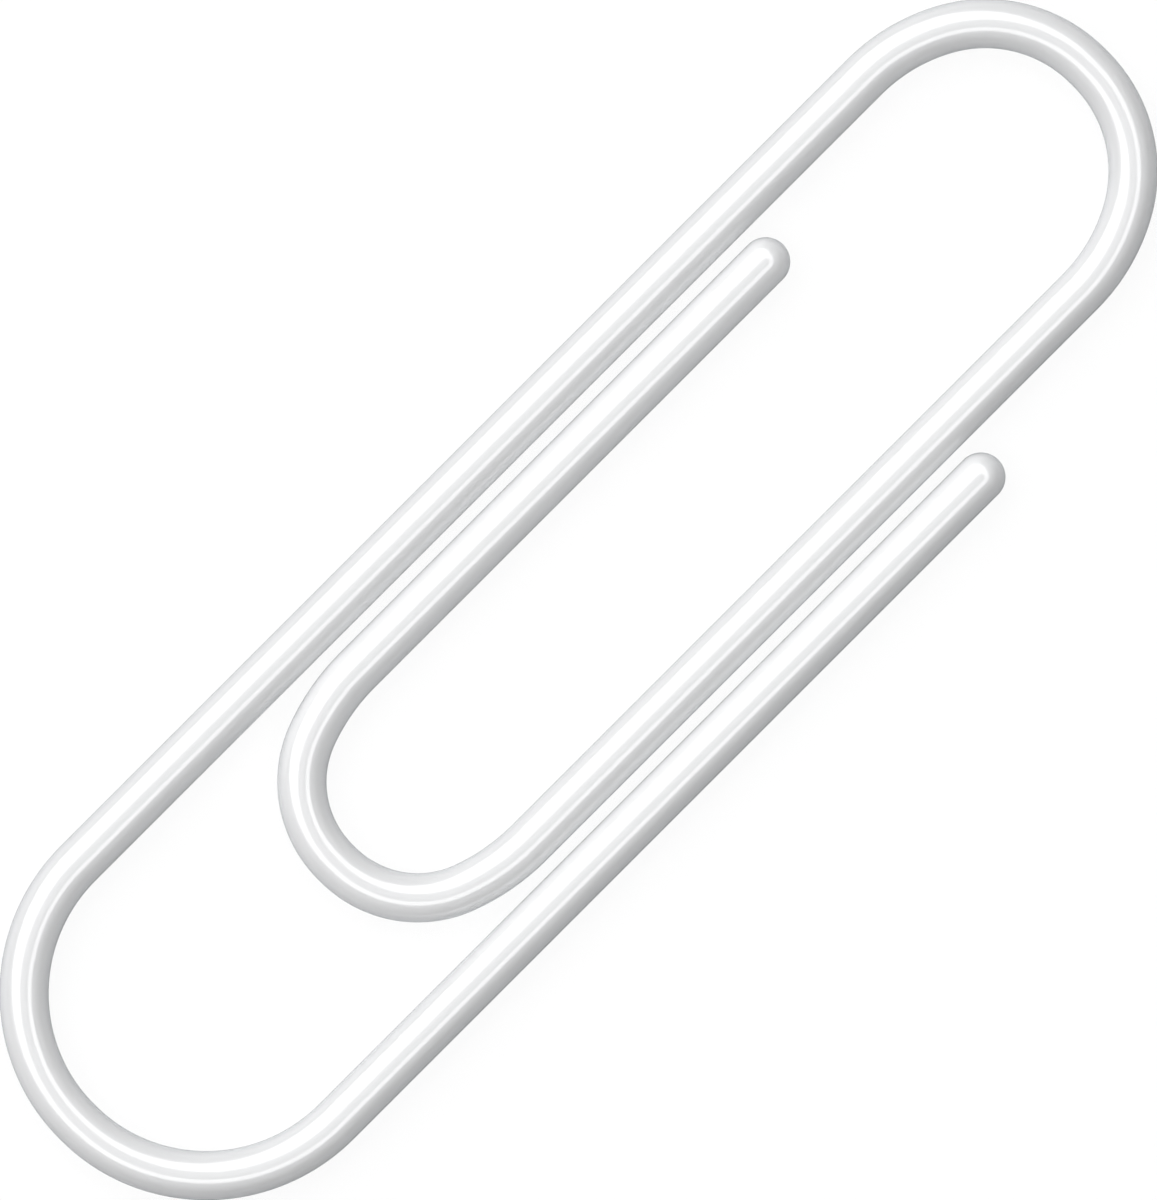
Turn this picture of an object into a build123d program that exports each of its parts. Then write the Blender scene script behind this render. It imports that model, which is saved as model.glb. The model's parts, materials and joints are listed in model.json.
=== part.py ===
"""A two-loop wire clip for paper: steel wire in a glossy plastic skin, bent flat in one plane.

The frame: the clip lies on the plane Z = 0. +Y runs along the legs, from the wide bend at the heel to
the crown. +X runs across them, towards the outer leg, and +Z is up. The origin is on the table under
the middle of the clip. All sizes are in millimetres and all angles in degrees.

Going along the wire from one free tip to the other: outer leg, heel, long leg, crown, inner leg, tongue
bend, tongue leg. The wire is divided at the outermost point of each bend, where it runs straight along X,
so the stretches on both sides can twist on each other about the wire's own line and stay face to face.
"""

from build123d import *
import os
from dataclasses import dataclass
from math import cos, radians, sin

os.makedirs("parts", exist_ok=True)

# ---- Driving dimensions ---------------------------------------------------------------------------

# The wire
core_diameter = 0.90  # drawn steel wire
coating_wall = 0.09  # thickness of the plastic skin, all round and over both tips

# The clip as a whole, measured over the skin
clip_length = 33.0  # outside of the heel to outside of the crown
clip_width = 9.06  # outside of the long leg to outside of the outer leg
paper_gap = 0.25  # clear slot between two legs that lie side by side, where the paper goes

# How far each inner feature stands back from the end of the clip that it faces
outer_tip_setback = 8.0  # outside of the crown back to the tip of the outer leg
tongue_tip_setback = 8.0  # outside of the crown back to the tip of the tongue leg
tongue_bend_setback = 8.0  # outside of the heel back to the outside of the tongue bend

# Every bend is wiped round a pin and springs open a little as it comes off. It runs straight for a
# moment at its outermost point, turns tightest beside that, and eases out into the legs.
bend_flat = 0.10  # the short straight at the outermost point, half of it on each side
heel_tightness = 0.13  # how much less the tight radius is than that of a plain half circle
heel_ease_angle = 69.0  # turn made by the easier curve on each side, in degrees
crown_tightness = 0.12
crown_ease_angle = 29.0
tongue_tightness = 0.15
tongue_ease_angle = 20.5

# ---- Sizes worked out from them -------------------------------------------------------------------

wire_diameter = core_diameter + 2 * coating_wall
core_radius = core_diameter / 2
wire_radius = wire_diameter / 2
leg_pitch = wire_diameter + paper_gap

outer_leg_x = clip_width / 2 - wire_radius
long_leg_x = -outer_leg_x
inner_leg_x = outer_leg_x - leg_pitch
tongue_leg_x = long_leg_x + leg_pitch

crown_line_y = clip_length / 2 - wire_radius
heel_line_y = -crown_line_y
tongue_line_y = heel_line_y + tongue_bend_setback

# Each tip is a half ball, and these are the y places of the balls' centres.
outer_tip_y = clip_length / 2 - outer_tip_setback - wire_radius
tongue_tip_y = clip_length / 2 - tongue_tip_setback - wire_radius

LEFT, RIGHT = -1, 1
TOWARDS_CROWN, TOWARDS_HEEL = 1, -1


# ---- The bends ------------------------------------------------------------------------------------


@dataclass
class Bend:
    """A bend that turns the wire back on itself, from a leg on its left to a leg on its right."""

    left_leg_x: float
    right_leg_x: float
    line_y: float  # y of the wire's middle line at the outermost point
    facing: int  # which way the outside of the bend looks
    tightness: float
    ease_angle: float

    def __post_init__(self):
        self.middle_x = (self.left_leg_x + self.right_leg_x) / 2
        half_span = (self.right_leg_x - self.left_leg_x - bend_flat) / 2
        self.radius = half_span - self.tightness
        self.centre_y = self.line_y - self.facing * self.radius
        # The easier curve ends where it runs along the leg, which sets how much larger it is.
        ease = radians(self.ease_angle)
        extra_radius = self.tightness / (1 - cos(ease))
        self.ease_radius = self.radius + extra_radius
        self.ease_shift_x = extra_radius * cos(ease)
        self.leg_y = self.centre_y - self.facing * extra_radius * sin(ease)

    def half(self, side):
        """The lines and curves of one half of the bend, from its outermost point to the leg."""
        turn = -side * self.facing  # which way round this half goes
        towards_leg = 0 if side == RIGHT else 180  # degrees
        flat_end_x = self.middle_x + side * bend_flat / 2
        flat = Line((self.middle_x, self.line_y), (flat_end_x, self.line_y))
        tight_turn = turn * (90 - self.ease_angle)
        tight = CenterArc((flat_end_x, self.centre_y), self.radius, self.facing * 90, tight_turn)
        ease_turn = turn * self.ease_angle
        ease_centre = (flat_end_x - side * self.ease_shift_x, self.leg_y)
        easy = CenterArc(ease_centre, self.ease_radius, towards_leg - ease_turn, ease_turn)
        return [flat, tight, easy]


heel = Bend(long_leg_x, outer_leg_x, heel_line_y, TOWARDS_HEEL, heel_tightness, heel_ease_angle)
crown = Bend(long_leg_x, inner_leg_x, crown_line_y, TOWARDS_CROWN, crown_tightness, crown_ease_angle)
tongue_bend = Bend(
    tongue_leg_x, inner_leg_x, tongue_line_y, TOWARDS_HEEL, tongue_tightness, tongue_ease_angle
)


def leg(x, low_y, high_y):
    return [Line((x, low_y), (x, high_y))]


# ---- The stretches of wire ------------------------------------------------------------------------

# Each stretch: the lines and curves that its middle follows, and the centre of its free tip, if any.
stretches = {
    "outer_leg": (
        heel.half(RIGHT) + leg(outer_leg_x, heel.leg_y, outer_tip_y),
        (outer_leg_x, outer_tip_y),
    ),
    "long_leg": (
        heel.half(LEFT) + leg(long_leg_x, heel.leg_y, crown.leg_y) + crown.half(LEFT),
        None,
    ),
    "inner_leg": (
        crown.half(RIGHT) + leg(inner_leg_x, tongue_bend.leg_y, crown.leg_y) + tongue_bend.half(RIGHT),
        None,
    ),
    "tongue_leg": (
        tongue_bend.half(LEFT) + leg(tongue_leg_x, tongue_bend.leg_y, tongue_tip_y),
        (tongue_leg_x, tongue_tip_y),
    ),
}


def round_bar(route, radius, tip):
    """A round bar along the route, with a half ball on its free tip."""
    start = Plane(origin=route @ 0, z_dir=route % 0)
    bar = sweep(start * Circle(radius), path=route)
    if tip:
        towards_crown = Rot(-90, 0, 0)
        bar += Pos(*tip) * towards_crown * Sphere(radius, arc_size1=0, align=None)
    return Pos(0, 0, wire_radius) * bar


def write_node(name, solid):
    solid.label = name
    export_step(solid, f"parts/{name}.step")


wire_length = 0.0
for name, (curves, tip) in stretches.items():
    route = Wire([edge for curve in curves for edge in curve.edges()])
    core = round_bar(route, core_radius, tip)
    coating = round_bar(route, wire_radius, tip) - core
    write_node(f"{name}_core", core)
    write_node(f"{name}_coating", coating)
    wire_length += route.length
    print(f"{name}: {route.length:.3f} mm along its middle line")

print(f"wire {wire_diameter:.3f} mm thick and {wire_length:.2f} mm long, tips left out")
for name, bend in {"heel": heel, "crown": crown, "tongue bend": tongue_bend}.items():
    print(f"{name}: turned at x {bend.middle_x:.4f}, y {bend.line_y:.4f}, legs from y {bend.leg_y:.4f},")
    print(f"  with radii of {bend.radius:.3f} and {bend.ease_radius:.3f} mm")
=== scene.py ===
import json
from math import ceil, cos, pi, radians, sin, tan

import bmesh
import bpy
from mathutils import Matrix, Vector


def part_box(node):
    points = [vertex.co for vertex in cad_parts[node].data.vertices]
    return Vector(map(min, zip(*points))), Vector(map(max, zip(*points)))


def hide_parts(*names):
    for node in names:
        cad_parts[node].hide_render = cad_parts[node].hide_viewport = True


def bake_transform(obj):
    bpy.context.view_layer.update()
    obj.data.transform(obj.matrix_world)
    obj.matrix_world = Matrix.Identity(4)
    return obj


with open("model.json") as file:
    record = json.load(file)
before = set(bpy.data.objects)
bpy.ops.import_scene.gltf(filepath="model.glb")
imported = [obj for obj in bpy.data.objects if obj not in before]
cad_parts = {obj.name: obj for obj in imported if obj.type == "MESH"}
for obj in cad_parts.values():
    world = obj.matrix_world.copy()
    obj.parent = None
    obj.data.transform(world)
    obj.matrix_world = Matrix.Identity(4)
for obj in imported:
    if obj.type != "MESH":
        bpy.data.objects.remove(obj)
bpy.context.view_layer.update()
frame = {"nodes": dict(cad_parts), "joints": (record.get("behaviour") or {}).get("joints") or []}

# ---- Steel core -----------------------------------------------------------------------------------
# One length of drawn low-carbon steel wire, zinc-plated, its cut ends tumbled round, and bent three
# times round pins. It lies wholly inside the white skin. Its four stretches keep the shapes they came
# with, and get only their finish here.

mm = 0.001
zinc_bright = (0.66, 0.68, 0.70)
zinc_dull = (0.50, 0.52, 0.55)


def new_material(name):
    """Gives back a material with one Principled shader, its nodes, its links and that shader."""
    material = bpy.data.materials.new(name)
    material.use_nodes = True
    tree = material.node_tree
    return material, tree.nodes, tree.links, tree.nodes["Principled BSDF"]


def pattern(nodes, links, places, per_mm, detail):
    """A noise from 0 to 1 over places in metres, with that many of its units to the millimetre."""
    mapping = nodes.new("ShaderNodeMapping")
    mapping.inputs["Scale"].default_value = [count / mm for count in per_mm]
    links.new(places, mapping.inputs["Vector"])
    noise = nodes.new("ShaderNodeTexNoise")
    noise.inputs["Scale"].default_value = 1.0
    noise.inputs["Detail"].default_value = detail
    links.new(mapping.outputs["Vector"], noise.inputs["Vector"])
    return noise.outputs["Fac"]


def spread(nodes, links, value, low, high):
    """A pattern's value, spread over low to high. It keeps mostly between 0.3 and 0.7."""
    span = nodes.new("ShaderNodeMapRange")
    ends = {"From Min": 0.3, "From Max": 0.7, "To Min": low, "To Max": high}
    for end, at in ends.items():
        span.inputs[end].default_value = at
    links.new(value, span.inputs["Value"])
    return span.outputs["Result"]


def between(nodes, links, share, colour, other):
    """A colour that goes from one to the other with the share."""
    mix = nodes.new("ShaderNodeMix")
    mix.data_type = "RGBA"
    mix.inputs["A"].default_value = (*colour, 1)
    mix.inputs["B"].default_value = (*other, 1)
    links.new(share, mix.inputs["Factor"])
    return mix.outputs["Result"]


def raised(nodes, links, height, depth, under=None):
    """A bump of that depth in metres, laid over the bump under it."""
    bump = nodes.new("ShaderNodeBump")
    bump.inputs["Strength"].default_value = 1.0
    bump.inputs["Distance"].default_value = depth
    links.new(height, bump.inputs["Height"])
    if under:
        links.new(under, bump.inputs["Normal"])
    return bump.outputs["Normal"]


galvanised, nodes, links, shader = new_material("galvanised_steel")
steel_places = nodes.new("ShaderNodeTexCoord").outputs["Object"]
draw_marks = pattern(nodes, links, steel_places, per_mm=(22, 0.4, 22), detail=3)
zinc_spangle = pattern(nodes, links, steel_places, per_mm=(4, 4, 4), detail=4)
links.new(between(nodes, links, zinc_spangle, zinc_dull, zinc_bright), shader.inputs["Base Color"])
links.new(spread(nodes, links, zinc_spangle, low=0.28, high=0.46), shader.inputs["Roughness"])
links.new(raised(nodes, links, draw_marks, depth=0.0012 * mm), shader.inputs["Normal"])
shader.inputs["Metallic"].default_value = 1.0

for stretch in ("outer_leg_core", "long_leg_core", "inner_leg_core", "tongue_leg_core"):
    frame["nodes"][stretch].data.materials.clear()
    frame["nodes"][stretch].data.materials.append(galvanised)

# ---- White skin round the outer leg and the heel --------------------------------------------------
# Glossy white vinyl, run over the straight wire through a round die before it is bent, and closed over
# both tips by a dip. It is one unbroken skin. It is made here in three stretches, one round each bend,
# that meet on straight wire. This one runs from the outer tip round the heel to the long leg.

skin_wall = 0.09 * mm
bore_clearance = 0.005 * mm  # between the skin's inside and the steel
facet_allowance = 0.0016 * mm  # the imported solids' facets lie this far inside their true round
ring_sides = 64
leg_step = 0.8 * mm  # between rings of the mesh on a leg
bend_step = radians(2)  # between rings on a bend
dome_rings = 16
rim_angle = radians(40)  # edges sharper than this, which only the flat rims have, aren't smoothed

bend_flat = 0.10 * mm  # the short straight at each bend's outermost point
heel_tightness = 0.13 * mm
heel_ease_angle = radians(69.0)
first_seam_y = -1.0 * mm  # on the long leg

bend_tops = {joint["name"]: Vector(joint["pos_m"]) for joint in frame["joints"]}
heel_top = bend_tops["heel_twist"]
crown_top = bend_tops["crown_twist"]
tongue_top = bend_tops["tongue_twist"]

wire_radius = heel_top.z  # the clip lies on the table, so its wire's middle is this high
skin_radius = wire_radius - facet_allowance
bore_radius = wire_radius - skin_wall + bore_clearance
outer_leg_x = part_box("outer_leg_coating")[1].x - wire_radius
long_leg_x = 2 * heel_top.x - outer_leg_x
inner_leg_x = 2 * crown_top.x - long_leg_x
tongue_leg_x = 2 * tongue_top.x - inner_leg_x
outer_tip_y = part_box("outer_leg_coating")[1].y - wire_radius
tongue_tip_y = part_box("tongue_leg_coating")[1].y - wire_radius


class WireWalk:
    """Goes along the wire's middle, and notes each ring: its x, y, heading and distance from the start."""

    def __init__(self, x, y, heading):
        self.x = x
        self.y = y
        self.heading = heading
        self.come = 0.0
        self.rings = []
        self.note()

    def note(self):
        self.rings.append((self.x, self.y, self.heading, self.come))

    def straight(self, length, steps=None):
        steps = steps or ceil(length / leg_step)
        for _ in range(steps):
            self.x += cos(self.heading) * length / steps
            self.y += sin(self.heading) * length / steps
            self.come += length / steps
            self.note()

    def turn_right(self, radius, angle):
        steps = ceil(angle / bend_step)
        share = angle / steps
        chord = 2 * radius * sin(share / 2)
        for _ in range(steps):
            self.x += cos(self.heading - share / 2) * chord
            self.y += sin(self.heading - share / 2) * chord
            self.heading -= share
            self.come += radius * share
            self.note()

    def bend(self, span, tightness, ease_angle):
        """Half a turn to the right, onto a leg that lies span away: easy, tight, flat, tight, easy."""
        tight, easy, _ = bend_sizes(span, tightness, ease_angle)
        self.turn_right(easy, ease_angle)
        self.turn_right(tight, pi / 2 - ease_angle)
        self.straight(bend_flat, steps=1)
        self.turn_right(tight, pi / 2 - ease_angle)
        self.turn_right(easy, ease_angle)

    def cut(self):
        """The rings so far. The next stretch starts from the last of them."""
        done = self.rings
        self.rings = done[-1:]
        return done


def bend_sizes(span, tightness, ease_angle):
    """A bend's tight radius, its easy radius, and its depth from the outermost point to its legs."""
    tight = (span - bend_flat) / 2 - tightness
    extra = tightness / (1 - cos(ease_angle))
    return tight, tight + extra, tight + extra * sin(ease_angle)


def add_ring(bm, ring, radius, ahead=0.0):
    """A round of vertices about the ring's middle, moved ahead along the wire."""
    x, y, heading, come = ring
    middle = Vector((x + ahead * cos(heading), y + ahead * sin(heading), wire_radius))
    across = Vector((sin(heading), -cos(heading), 0))
    straight_wire = bm.verts.layers.float_vector["straight_wire"]
    made = []
    for side in range(ring_sides if radius else 1):
        angle = 2 * pi * side / ring_sides
        vertex = bm.verts.new(middle + radius * (cos(angle) * across + sin(angle) * Vector((0, 0, 1))))
        vertex[straight_wire] = (radius * cos(angle), radius * sin(angle), come + ahead)
        made.append(vertex)
    return made


def join_rings(bm, rings):
    """Faces between each ring and the next. A ring of one vertex is a tip's middle."""
    for here, there in zip(rings, rings[1:]):
        for side in range(ring_sides):
            after = (side + 1) % ring_sides
            if len(here) == 1:
                bm.faces.new((here[0], there[after], there[side]))
            elif len(there) == 1:
                bm.faces.new((here[side], here[after], there[0]))
            else:
                bm.faces.new((here[side], here[after], there[after], there[side]))


def add_wall(bm, rings, radius, tip_at):
    """A tube along the rings, closed by a dome at the tip. Gives back its first and last round."""
    rounds = [add_ring(bm, ring, radius) for ring in rings]
    if tip_at:
        tip_ring = rings[0] if tip_at == "start" else rings[-1]
        out = -1 if tip_at == "start" else 1
        climbs = [pi / 2 * step / dome_rings for step in range(1, dome_rings)]
        dome = [add_ring(bm, tip_ring, radius * cos(climb), out * radius * sin(climb)) for climb in climbs]
        dome.append(add_ring(bm, tip_ring, 0, out * radius))
        rounds = dome[::-1] + rounds if tip_at == "start" else rounds + dome
    join_rings(bm, rounds)
    return rounds[0], rounds[-1]


def finished_mesh(name, bm):
    mesh = bpy.data.meshes.new(name)
    bm.to_mesh(mesh)
    bm.free()
    return mesh


def new_object(name, data):
    """An object that shows that mesh or camera, put in the scene."""
    made = bpy.data.objects.new(name, data)
    bpy.context.scene.collection.objects.link(made)
    return made


def skin_stretch(name, rings, tip_at=None):
    """A hollow stretch of skin along the rings, with flat rims where it meets the next stretch."""
    bm = bmesh.new()
    bm.verts.layers.float_vector.new("straight_wire")
    outside = add_wall(bm, rings, skin_radius, tip_at)
    inside = add_wall(bm, rings, bore_radius, tip_at)
    if tip_at != "start":
        join_rings(bm, [outside[0], inside[0]])
    if tip_at != "end":
        join_rings(bm, [outside[1], inside[1]])
    bmesh.ops.recalc_face_normals(bm, faces=bm.faces)
    mesh = finished_mesh(name, bm)
    mesh.shade_smooth()
    mesh.set_sharp_from_angle(angle=rim_angle)
    return new_object(name, mesh)


# The vinyl: white all through, glossy, with the die's faint lines along the wire, a little orange peel,
# and a film of handling that dulls the gloss in places. Its patterns lie on the wire as it was while
# straight, so they follow the bends and run on from stretch to stretch.
vinyl_white = (0.800, 0.804, 0.809)
vinyl_shade = (0.777, 0.782, 0.789)
vinyl_gloss = {"IOR": 1.5, "Coat Weight": 1.0, "Coat IOR": 1.6, "Coat Roughness": 0.04}

vinyl, nodes, links, shader = new_material("glossy_white_vinyl")
wire_places = nodes.new("ShaderNodeAttribute")
wire_places.attribute_name = "straight_wire"
on_wire = wire_places.outputs["Vector"]
cloud = pattern(nodes, links, on_wire, per_mm=(0.9, 0.9, 0.3), detail=3)
handling = pattern(nodes, links, on_wire, per_mm=(1.6, 1.6, 0.7), detail=5)
die_lines = pattern(nodes, links, on_wire, per_mm=(14, 14, 0.15), detail=2)
orange_peel = pattern(nodes, links, on_wire, per_mm=(3, 3, 3), detail=2)
links.new(between(nodes, links, cloud, vinyl_shade, vinyl_white), shader.inputs["Base Color"])
links.new(spread(nodes, links, handling, low=0.06, high=0.13), shader.inputs["Roughness"])
peel_bump = raised(nodes, links, orange_peel, depth=0.0012 * mm)
lined_bump = raised(nodes, links, die_lines, depth=0.0003 * mm, under=peel_bump)
links.new(lined_bump, shader.inputs["Normal"])
for socket, value in vinyl_gloss.items():
    shader.inputs[socket].default_value = value

walk = WireWalk(outer_leg_x, outer_tip_y, radians(-90))
heel_span = outer_leg_x - long_leg_x
heel_depth = bend_sizes(heel_span, heel_tightness, heel_ease_angle)[2]
walk.straight(outer_tip_y - (heel_top.y + heel_depth))
walk.bend(heel_span, heel_tightness, heel_ease_angle)
walk.straight(first_seam_y - (heel_top.y + heel_depth))

heel_skin = skin_stretch("outer_leg_and_heel_skin", walk.cut(), tip_at="start")
heel_skin.data.materials.append(vinyl)
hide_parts("outer_leg_coating", "long_leg_coating")
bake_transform(heel_skin)

# ---- White skin round the crown -------------------------------------------------------------------
# The same skin, from the seam on the long leg round the crown to the inner leg. The crown is the widest
# loop that paper slides under, and twists the most when the inner loop is lifted.

crown_tightness = 0.12 * mm
crown_ease_angle = radians(29.0)
second_seam_y = 4.0 * mm  # on the inner leg

crown_span = inner_leg_x - long_leg_x
crown_depth = bend_sizes(crown_span, crown_tightness, crown_ease_angle)[2]
walk.straight(crown_top.y - crown_depth - first_seam_y)
walk.bend(crown_span, crown_tightness, crown_ease_angle)
walk.straight(crown_top.y - crown_depth - second_seam_y)

crown_skin = skin_stretch("long_leg_and_crown_skin", walk.cut())
crown_skin.data.materials.append(vinyl)
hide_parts("long_leg_coating", "inner_leg_coating")
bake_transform(crown_skin)

# ---- White skin round the tongue ------------------------------------------------------------------
# The same skin, from the seam on the inner leg round the tongue bend and up the tongue leg to its tip,
# where the dip closes it in a dome.

tongue_tightness = 0.15 * mm
tongue_ease_angle = radians(20.5)

tongue_span = inner_leg_x - tongue_leg_x
tongue_depth = bend_sizes(tongue_span, tongue_tightness, tongue_ease_angle)[2]
walk.straight(second_seam_y - (tongue_top.y + tongue_depth))
walk.bend(tongue_span, tongue_tightness, tongue_ease_angle)
walk.straight(tongue_tip_y - (tongue_top.y + tongue_depth))

tongue_skin = skin_stretch("inner_leg_and_tongue_skin", walk.cut(), tip_at="end")
tongue_skin.data.materials.append(vinyl)
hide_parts("inner_leg_coating", "tongue_leg_coating")
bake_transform(tongue_skin)

# ---- Table ----------------------------------------------------------------------------------------
# A large sheet of clear glass with a thin white bloom on its top, over a light table. The bloom keeps a
# faint shadow of the clip, and the gloss sees a pale sheet there. From below, the sheet is clear, so a leg
# that is twisted through it still shows and still gets its light.

table_half = 1.5
bloom_share = 0.10  # of what the eye sees on the sheet
bloom_colour = (1.0, 1.0, 1.0)
pale_sheet = (0.50, 0.51, 0.53)  # as the gloss sees it, with the full shadow of the clip on it


def matt(nodes, colour):
    """A plain matt surface of that colour."""
    surface = nodes.new("ShaderNodeBsdfDiffuse")
    surface.inputs["Color"].default_value = (*colour, 1)
    return surface.outputs["BSDF"]


def mixed(nodes, links, share, one, other):
    """A surface that goes from one to the other with the share, a socket or a plain number."""
    mix = nodes.new("ShaderNodeMixShader")
    if isinstance(share, float):
        mix.inputs["Fac"].default_value = share
    else:
        links.new(share, mix.inputs["Fac"])
    links.new(one, mix.inputs[1])
    links.new(other, mix.inputs[2])
    return mix.outputs["Shader"]


glass, nodes, links, shader = new_material("bloomed_glass")
nodes.remove(shader)
in_gloss = nodes.new("ShaderNodeLightPath").outputs["Is Glossy Ray"]
from_below = nodes.new("ShaderNodeNewGeometry").outputs["Backfacing"]
clear = nodes.new("ShaderNodeBsdfTransparent").outputs["BSDF"]
top = mixed(nodes, links, bloom_share, clear, matt(nodes, bloom_colour))
top = mixed(nodes, links, in_gloss, top, matt(nodes, pale_sheet))
links.new(mixed(nodes, links, from_below, top, clear), nodes["Material Output"].inputs["Surface"])

corners = [(-1, -1), (1, -1), (1, 1), (-1, 1)]
mesh = bpy.data.meshes.new("table")
mesh.from_pydata([(x * table_half, y * table_half, 0) for x, y in corners], [], [range(len(corners))])
mesh.materials.append(glass)
table = new_object("table", mesh)

# ---- Light ----------------------------------------------------------------------------------------
# One large soft panel in the ceiling of a dark tent, which reaches further to the left of the legs than to
# the right. A round dim hatch in it, for the camera, is the pale grey strip in the gloss along the top of
# the wire. A light table glows under the glass. The camera sees through all of them, to white.

ceiling_height = 1.0
panel_colour = (1.0, 1.0, 1.0)
panel_glow = 2.47
hatch_angle = radians(17.5)  # half of what the hatch takes up, seen from the clip
hatch_softness = radians(1.0)
panel_reach_right = tan(radians(38))  # per unit of height, as are the next three
panel_reach_left = tan(radians(78))
panel_reach_side = tan(radians(52.5))
tent_reach = 5.0
hatch_glow = 0.11  # as a share of the panel's, as is the next
hatch_side_glow = 0.95  # right beside the hatch
panel_full_from = 0.38  # of the way from the hatch to the rim, where its glow is full
panel_full_to = 0.9  # and where it starts to fade
panel_sides = 96
tent_colour = (0.02, 0.02, 0.02)
light_table_depth = 0.5
light_table_angle = radians(60)  # half of what it takes up, seen from the clip
light_table_colour = (0.96, 0.98, 1.0)
light_table_glow = 1.3


def glowing_material(name, colour, strength):
    """Gives back a material that only glows, its nodes, its links and its glow's strength socket."""
    material, nodes, links, shader = new_material(name)
    nodes.remove(shader)
    glow = nodes.new("ShaderNodeEmission")
    glow.inputs["Color"].default_value = (*colour, 1)
    glow.inputs["Strength"].default_value = strength
    links.new(glow.outputs["Emission"], nodes["Material Output"].inputs["Surface"])
    return material, nodes, links, glow.inputs["Strength"]


lit, nodes, links, strength = glowing_material("light_panel", panel_colour, panel_glow)
glow_there = nodes.new("ShaderNodeAttribute")
glow_there.attribute_name = "glow"
links.new(glow_there.outputs["Fac"], strength)

dark, nodes, links, shader = new_material("dark_tent")
shader.inputs["Base Color"].default_value = (*tent_colour, 1)
shader.inputs["Roughness"].default_value = 1.0
tent_materials = [lit, dark]

# From the hatch outwards: the circle that a round lies on, its height, its share of the way from there to
# the panel's rim, and its share of the panel's glow. The last is the foot of the tent's wall.
bm = bmesh.new()
glow = bm.verts.layers.float.new("glow")
hatch_full = tan(hatch_angle + hatch_softness)
rounds = []
for size, height, share, glow_share in (
    (tan(hatch_angle), 1, 0, hatch_glow),
    (hatch_full, 1, 0, hatch_side_glow),
    (hatch_full, 1, panel_full_from, 1),
    (hatch_full, 1, panel_full_to, 1),
    (hatch_full, 1, 1, 0),
    (tent_reach, 1, 0, 0),
    (tent_reach, 0, 0, 0),
):
    made = []
    for side in range(panel_sides):
        x = cos(2 * pi * side / panel_sides)
        y = sin(2 * pi * side / panel_sides)
        rim_x = (panel_reach_right - panel_reach_left + x * (panel_reach_right + panel_reach_left)) / 2
        rim = Vector((rim_x, y * panel_reach_side, 1))
        place = Vector((x * size, y * size, height)).lerp(rim, share)
        vertex = bm.verts.new(place * ceiling_height)
        vertex[glow] = glow_share * panel_glow
        made.append(vertex)
    rounds.append(made)
bm.faces.new(rounds[0])
for here, there in zip(rounds, rounds[1:]):
    for side in range(panel_sides):
        after = (side + 1) % panel_sides
        face = bm.faces.new((here[side], here[after], there[after], there[side]))
        face.material_index = tent_materials.index(dark if there in rounds[-2:] else lit)
mesh = finished_mesh("tent", bm)
for material in tent_materials:
    mesh.materials.append(material)
tent = new_object("tent", mesh)
tent.visible_camera = False

bm = bmesh.new()
radius = light_table_depth * tan(light_table_angle)
below = Matrix.Translation((0, 0, -light_table_depth))
bmesh.ops.create_circle(bm, cap_ends=True, segments=panel_sides, radius=radius, matrix=below)
mesh = finished_mesh("light_table", bm)
mesh.materials.append(glowing_material("light_table", light_table_colour, light_table_glow)[0])
light_table = new_object("light_table", mesh)
light_table.visible_camera = False


def either(nodes, links, one, other):
    """The larger of two values."""
    larger = nodes.new("ShaderNodeMath")
    larger.operation = "MAXIMUM"
    links.new(one, larger.inputs[0])
    links.new(other, larger.inputs[1])
    return larger.outputs["Value"]


def seen_share(nodes, links):
    """1 for what is seen directly, in a reflection or through glass, and 0 for light that falls."""
    path = nodes.new("ShaderNodeLightPath").outputs
    mirrored = either(nodes, links, path["Is Glossy Ray"], path["Is Transmission Ray"])
    return either(nodes, links, path["Is Camera Ray"], mirrored)


# The white room is only seen. No light falls from it.
world = bpy.data.worlds.new("white_room")
world.use_nodes = True
world.cycles.sampling_method = "NONE"
nodes = world.node_tree.nodes
links = world.node_tree.links
white = nodes["Background"]
white.inputs["Color"].default_value = (1, 1, 1, 1)
links.new(seen_share(nodes, links), white.inputs["Strength"])
bpy.context.scene.world = world

# ---- Camera ---------------------------------------------------------------------------------------
# Straight above the clip, through a long lens, turned so that the legs run from the lower left of the
# picture to the upper right.

picture_middle = (-0.328 * mm, -0.156 * mm)
picture_height = 26.216 * mm  # the long side, at the height of the wire's middle
picture_turn = radians(45)
lens = 500.0
sensor = 36.0
clip_range = 10  # it sees from this many times nearer than the clip to this many times further

camera_data = bpy.data.cameras.new("camera")
camera_data.lens = lens
camera_data.sensor_width = sensor
distance = picture_height * lens / sensor
camera_data.clip_start = distance / clip_range
camera_data.clip_end = distance * clip_range
camera = new_object("camera", camera_data)
camera.location = (*picture_middle, wire_radius + distance)
camera.rotation_euler = (0, 0, picture_turn)
bpy.context.scene.camera = camera
bpy.context.scene.view_settings.view_transform = "Standard"
